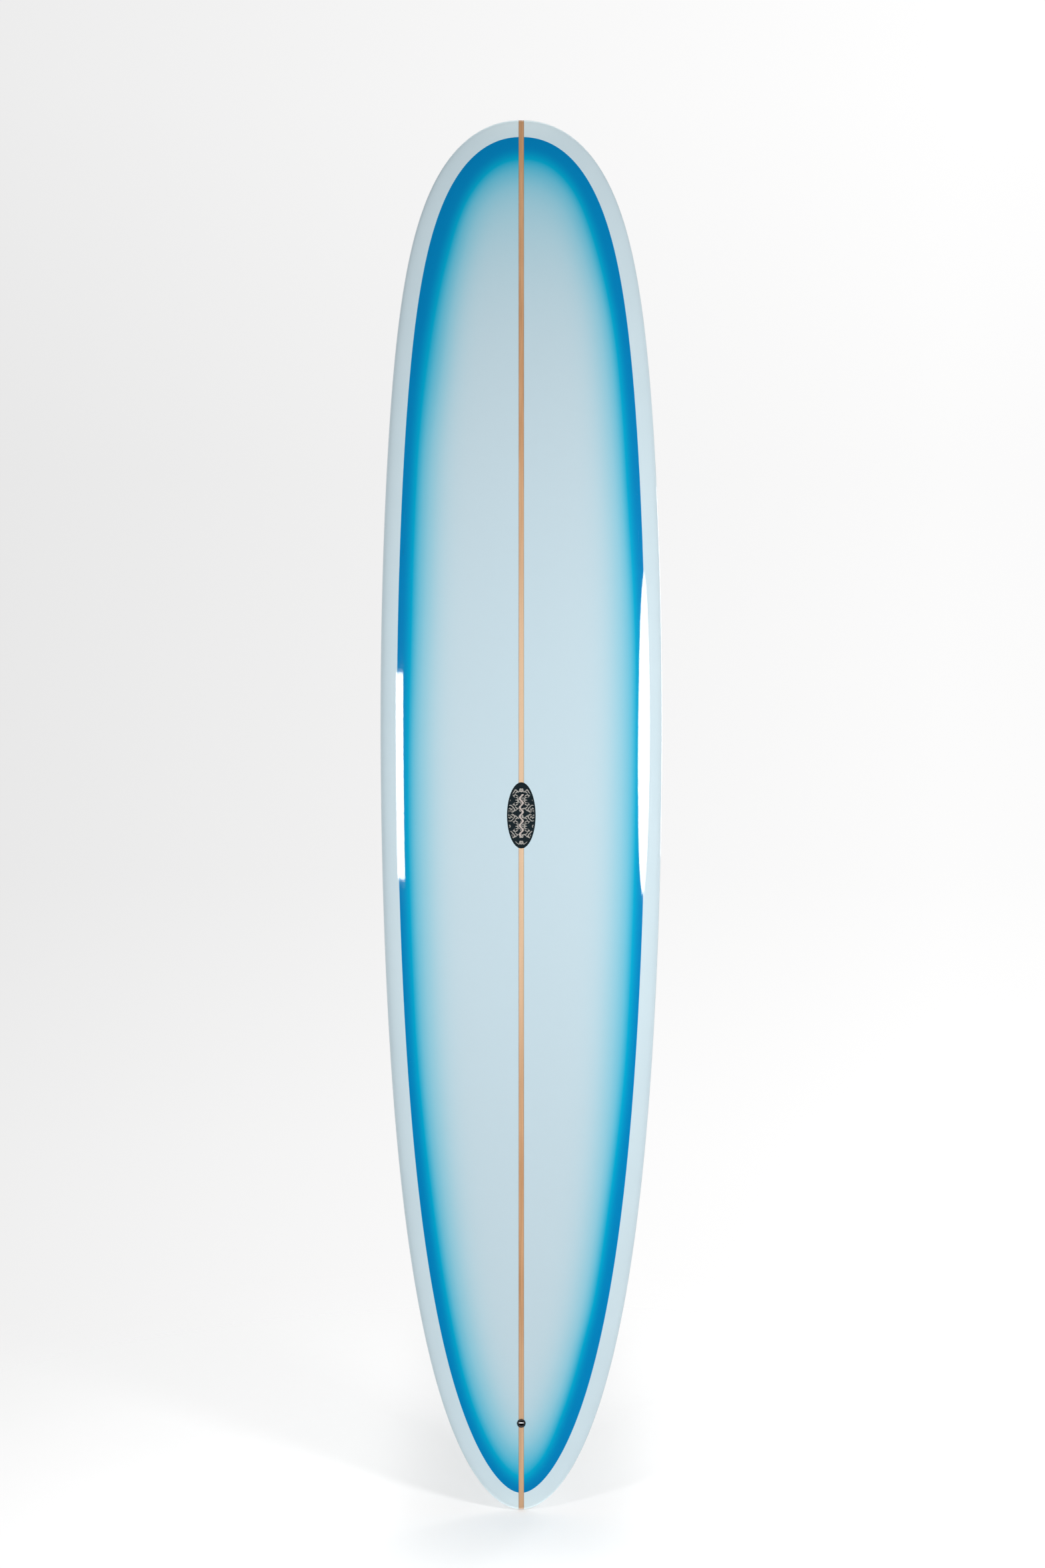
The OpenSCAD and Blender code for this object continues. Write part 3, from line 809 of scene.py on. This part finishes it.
def bedding(name):
    bed = Material(name)
    cloud = bed.noise(260, detail=4.0)
    bed.set(Base_Color=bed.mix(cloud, (0.66, 0.70, 0.68), (0.78, 0.80, 0.77)), Coat_Weight=0.9,
            Roughness=bed.varied(bed.noise(700), span=0.15, base=0.30))
    return bed


cup = lathe("leash_plug_cup", CUP_PROFILE, closed=True)
boolean(cup, extrude("cutter", circle(BAR_HOLE_RADIUS, 0, BAR_HOLE_HEIGHT), X_AXIS,
                     -BAR_HOLE_HALF, BAR_HOLE_HALF))
place(cup, AT_PLUG)
smooth(cup, 35)
finish_with(cup, black_plastic("plug_nylon"), "board", "black_nylon", "leash_cup")
# painted glint: the bar is nearly white and hardly metallic, so it shows as a bright glint in the
# cup
bar_painted_glint = metal("bar_painted_glint", tint=(0.95, 0.96, 0.97), rough=0.42, scale=(200, 2600, 2600),
                  metallic=0.15)
keep_cad("leash_bar", bar_painted_glint, bevel=0.2)
keep_cad("leash_bed", bedding("plug_bed"))


# ---------------------------------------------------------------------------
# Fin box and the resin round it, both finished flush with the bottom
# ---------------------------------------------------------------------------
def above_bottom():
    """Everything outside the bottom's surface, near the fin box."""
    across, along = np.linspace(-26, 26, 25), np.linspace(185, 490, 90)
    x, z = np.meshgrid(across, along, indexing="ij")
    low = np.stack([x, bottom_y(x, z), z], -1).reshape(-1, 3)
    high = low.copy()
    high[:, 1] = 40
    n = len(low)
    index = np.arange(n).reshape(x.shape)
    faces = grid_faces(index) + grid_faces(index + n)
    rim = [*index[:, 0], *index[-1, 1:], *index[-2::-1, -1], *index[0, -2:0:-1]]
    faces += [(a, b, b + n, a + n) for a, b in zip(rim, rim[1:] + rim[:1])]
    return solid("cutter", np.vstack([low, high]), faces)


def block(x_range, y_range, z_range):
    points = [(x, y, z) for x in x_range for y in y_range for z in z_range]
    faces = [(0, 1, 3, 2), (4, 6, 7, 5), (0, 4, 5, 1), (2, 3, 7, 6), (0, 2, 6, 4), (1, 5, 7, 3)]
    return place(solid("cutter", points, faces), AT_BOX)


fin_box = box_prism("fin_box_moulding", 0, 4)
for ranges in (((-4.8, 4.8), (-19.5, 10), (-120.5, 120.5)),  # long slot
               ((-7.8, 7.8), (-9, -4), (-120.8, 120.8)),     # wider channel within the slot
               ((-7.8, 7.8), (-5, 7), (8, 25))):             # opening from the channel outside
    boolean(fin_box, block(*ranges))
boolean(fin_box, above_bottom())
smooth(fin_box, 30)
box_plastic = black_plastic("box_plastic", level=0.022, grain=1900, rough=0.40)
finish_with(fin_box, box_plastic, "board", "black_nylon", "fin_box")

box_bed = box_prism("fin_box_resin", BED_GAP, 4)
boolean(box_bed, box_prism("cutter", POCKET_GAP - BED_GAP, 6))
boolean(box_bed, above_bottom())
smooth(box_bed, 30)
finish_with(box_bed, bedding("box_bed"), "board", "bedding_resin", "fin_box_bed")

# ---------------------------------------------------------------------------
# Fin, in the fin box's frame: +Y out of the bottom, -Z towards the tail
# ---------------------------------------------------------------------------
FIN_REAR, FIN_BASE, FIN_DEPTH, FIN_RAKE = -86.0, 156.0, 229.0, 118.0
FIN_FRONT = FIN_REAR + FIN_BASE
FIN_TIP = (-FIN_RAKE, FIN_DEPTH)
# Control points of the two edges: z, y
LEADING_EDGE = [(FIN_FRONT, 0), (FIN_FRONT - 26, FIN_DEPTH * 0.50), (-8, FIN_DEPTH * 0.86), FIN_TIP]
TRAILING_EDGE = [(FIN_REAR, 0), (FIN_REAR + 34, FIN_DEPTH * 0.28),
                 (FIN_REAR + 6, FIN_DEPTH * 0.66), FIN_TIP]
EDGE_HALF, FOIL_HALF = 0.3, 3.9     # half thicknesses: of the edges, and of the foil at the base
TAB_HALF = 4.5
# Side view of the tab in the box, with its short tongue at the front: y, z
TAB = [(0, -88), (-13, -88), (-18, -83), (-18, 65), (-13, 70), (-3.9, 70), (-3.9, 94),
       (-1.5, 94), (-1.5, 71.5), (0, 70)]
PIN_HOLE_RADIUS, PIN_Y, PIN_Z = 2.42, -6.5, -79
SCREW_HOLE_RADIUS, SCREW_Z = 2.25, 83


def bezier(controls, t):
    p = np.array(controls, float)
    t = np.asarray(t)[:, None]
    return ((1 - t) ** 3 * p[0] + 3 * (1 - t) ** 2 * t * p[1] + 3 * (1 - t) * t * t * p[2]
            + t**3 * p[3])


def build_fin(spans=72, chords=44):
    """Foil sections from the base to the tip, joined to the tab and drilled."""
    heights = np.linspace(0, 1, spans + 1)[:-1]
    heights = np.sin(heights * math.pi / 2) ** 1.15
    lead, trail = bezier(LEADING_EDGE, heights), bezier(TRAILING_EDGE, heights)
    points, faces = [], []
    ring = 2 * chords
    for i, t in enumerate(heights):
        for c in range(ring):
            q, side = (c, 1) if c <= chords else (2 * chords - c, -1)
            f = (1 - math.cos(math.pi * q / chords)) / 2
            z, y = lead[i] * (1 - f) + trail[i] * f
            half = 0
            if q not in (0, chords):
                foil = 0.62 * math.sqrt(f) + 0.30 * f - 0.92 * f * f
                half = (EDGE_HALF * min(1, q / 2, (chords - q) / 2)
                        + FOIL_HALF * (1 - t) ** 0.75 * 2.88 * foil)
            points.append((side * half, -0.6 if i == 0 else y + 0.3, z))
    points.append((0, FIN_DEPTH, -FIN_RAKE))
    last = (len(heights) - 1) * ring
    for base in range(0, last, ring):
        for c in range(ring):
            d = (c + 1) % ring
            faces.append((base + c, base + d, base + ring + d, base + ring + c))
    faces += [(last + c, last + (c + 1) % ring, len(points) - 1) for c in range(ring)]
    faces.append(tuple(range(ring)))
    fin = place(solid("fin_blade", points, faces), AT_BOX)
    pin_hole = circle(PIN_HOLE_RADIUS, PIN_Y, PIN_Z)
    screw_hole = circle(SCREW_HOLE_RADIUS, 0, SCREW_Z)
    for loop, axis, start, end, operation in (
            (TAB, X_AXIS, -TAB_HALF, TAB_HALF, "UNION"),
            (pin_hole, X_AXIS, -20, 20, "DIFFERENCE"),
            (screw_hole, Y_AXIS, -30, 10, "DIFFERENCE")):
        boolean(fin, place(extrude("cutter", loop, axis, start, end), AT_BOX), operation)
    smooth(fin, 32)
    return fin


def fin_material():
    """Smoky black with a fine weave."""
    blade = Material("fin_moulding")
    threads = 4200.0
    weft = blade.sine(blade.multiply(blade.xyz()[2], threads))
    warp = blade.sine(blade.multiply(blade.xyz()[1], threads))
    weave = blade.varied(blade.multiply(weft, warp), span=0.5, base=0.5)
    smoke = blade.noise((14, 14, 14), detail=4.0)
    tone = blade.add(blade.multiply(weave, 0.35), blade.multiply(smoke, 0.65))
    blade.set(Base_Color=blade.mix(tone, (0.010, 0.011, 0.012), (0.034, 0.037, 0.041)),
              Coat_Weight=0.6, Coat_Roughness=0.09,
              Roughness=blade.varied(smoke, span=0.14, base=0.28),
              Normal=blade.bump(weave, strength=0.08, distance=0.0001))
    return blade


finish_with(build_fin(), fin_material(), "fin_unit", "fin_moulding", "fin")
for node, name, tint, rough, scale, bevel in (
        ("fin_pin", "pin_brass", (0.78, 0.56, 0.25), 0.24, (240, 2400, 2400), 0.2),
        ("fin_screw", "screw_steel", (0.78, 0.79, 0.81), 0.22, (1600, 300, 1600), 0.12),
        ("fin_plate", "plate_steel", (0.72, 0.73, 0.75), 0.28, (300, 2400, 2400), 0.2)):
    keep_cad(node, metal(name, tint, rough, scale), bevel)

# ---------------------------------------------------------------------------
# Floor, light and camera
# ---------------------------------------------------------------------------
FLOOR_RADII = [300, 600, 1000, 1600, 2400, 3400]
FLOOR_Z = -0.5


def build_floor(count=128):
    points, faces = [(0, 0, FLOOR_Z)], []
    for radius in FLOOR_RADII:
        points += [(x, y, FLOOR_Z) for x, y in circle(radius, 0, 0, count)]
    for j in range(count):
        k = (j + 1) % count
        faces.append((0, 1 + j, 1 + k))
        for q in range(len(FLOOR_RADII) - 1):
            a, b = 1 + q * count, 1 + (q + 1) * count
            faces.append((a + j, b + j, b + k, a + k))
    floor = new_object("studio_floor", points, faces)
    floor.visible_glossy = False
    return floor


def floor_material():
    """Glowing paper that fades out to nothing, with a painted shadow that dims it by the tail, and
    whiter away from it.
    """
    paper = Material("floor_paper")
    x, y, _ = paper.xyz()
    distance = paper.sqrt(paper.add(paper.multiply(x, x), paper.multiply(y, y)))
    fade_start, fade_run = 0.5, 1.6
    faded = paper.divide(paper.subtract(distance, fade_start), fade_run)
    fade = paper.subtract(1.0, faded, clamp=True)

    shadow_ahead, shadow_aside = 0.46, 0.26  # reach of the painted shadow towards -Y, and to each side
    ahead = paper.divide(paper.minimum(y, 0.0), shadow_ahead)
    aside = paper.divide(x, shadow_aside)
    away = paper.add(paper.power(paper.absolute(ahead), 4.0),
                     paper.power(paper.absolute(aside), 4.0))
    clear_of_painted_shadow = paper.subtract(1.0, paper.power(2.718, paper.multiply(away, -1.0)))
    # painted shadow: the glow the camera sees drops round the tail
    seen_glow = paper.varied(clear_of_painted_shadow, span=0.17, base=0.125)
    seen = paper.node("LightPath").outputs["Is Camera Ray"]
    tone = paper.noise(3.0, detail=3.0)
    paper.set(Base_Color=paper.mix(tone, (0.76, 0.76, 0.76), (0.79, 0.79, 0.79)),
              Roughness=0.9, Specular_IOR_Level=0.0, Emission_Color=(1, 0.985, 0.965),
              Emission_Strength=paper.varied(seen, span=seen_glow, base=0.10))
    through = paper.node("BsdfTransparent").outputs[0]
    mixer = paper.node("MixShader", {0: fade, 1: through, 2: paper.shader.outputs[0]})
    paper.put(paper.output.inputs[0], mixer.outputs[0])
    return paper


floor = build_floor()
wear(floor, floor_material())


class Sky(Graph):
    """The world, with a background for the camera, one for reflections and one for the rest."""

    def direction(self):
        return self.node("SeparateXYZ", {0: self.node("TexCoord").outputs["Generated"]}).outputs

    def background(self, colour, strength):
        return self.node("Background", {0: colour, 1: strength}).outputs[0]

    def backdrop(self):
        """What the camera sees: a pale wall, lighter low down and to the right."""
        x, _, z = self.direction()
        greys = [(0.33, 0.995), (0.42, 0.955), (0.48, 0.905), (0.57, 0.895), (0.65, 0.935)]
        colour = self.ramp(self.varied(z, span=0.5, base=0.5),
                           [(at, (v, v * 0.998, v * 0.998)) for at, v in greys])
        brightest = 1.08
        strength = self.minimum(self.varied(x, span=0.42, base=1.0), brightest)
        return self.background(colour, strength)

    def ambient(self):
        """Soft light, stronger from above and from behind the board."""
        _, y, z = self.direction()
        upward = self.varied(z, span=0.17, base=0.345)
        behind = self.multiply(y, 1.6, clamp=True)
        strength = self.varied(behind, span=0.42, base=upward)
        return self.background((0.97, 0.985, 1.0), strength)

    def reflected(self):
        """Dark on the deck's side, pale behind the board, bright straight up and down."""
        _, y, z = self.direction()
        limits = {"From Min": 0.60, "From Max": 0.85, "To Min": 0.0, "To Max": 0.6}
        lid = self.node("MapRange", {"Value": self.absolute(z), **limits}).outputs["Result"]
        tone = self.add(self.varied(y, span=0.5, base=0.5), lid)
        colour = self.ramp(tone, [(0.40, (0.010, 0.030, 0.040)), (0.62, (0.62, 0.64, 0.66))])
        return self.background(colour, self.varied(lid, span=6.5, base=1.0))


world = bpy.data.worlds.new("studio")
scene.world = world
sky = Sky(world, "OutputWorld")
ray = sky.node("LightPath").outputs
unseen = sky.node("MixShader", {0: ray["Is Glossy Ray"], 1: sky.ambient(), 2: sky.reflected()})
everything = sky.node("MixShader", {0: ray["Is Camera Ray"], 1: unseen.outputs[0],
                                    2: sky.backdrop()})
sky.put(sky.output.inputs[0], everything.outputs[0])


def softbox(name, where, aim, size, power, mirrored=True, shape="RECTANGLE"):
    """An area light in metres and watts, hidden from the camera."""
    light = bpy.data.lights.new(name, "AREA")
    light.shape, light.energy = shape, power
    light.size, light.size_y = size
    lamp = bpy.data.objects.new(name, light)
    scene.collection.objects.link(lamp)
    lamp.location = where
    lamp.rotation_euler = (Vector(aim) - Vector(where)).to_track_quat("-Z", "Y").to_euler()
    lamp.visible_camera = False
    lamp.visible_glossy = mirrored


softbox("softbox_left", where=(-1.345, -1.95, 1.455), aim=(-0.25, 0, 1.45),
        size=(0.30, 0.62), power=15)
softbox("softbox_right", where=(1.40, -1.92, 1.565), aim=(0.245, 0, 1.54),
        size=(0.52, 0.93), power=31, shape="ELLIPSE")
softbox("softbox_back", where=(1.9, 2.5, 1.85), aim=(0, 0, 1.35), size=(0.75, 1.35), power=16)
softbox("fill_front", where=(0.0, -3.2, 1.35), aim=(0, 0, 1.30), size=(1.2, 1.2), power=3,
        mirrored=False)

lens = bpy.data.cameras.new("photo_camera")
lens.lens, lens.sensor_width, lens.clip_end = 50.0, 36.0, 60
camera = bpy.data.objects.new("photo_camera", lens)
scene.collection.objects.link(camera)
camera.location = (0.0024, -4.483, 1.4636)
camera.rotation_euler = (math.pi / 2, 0, 0)
scene.camera = camera

bpy.context.view_layer.update()
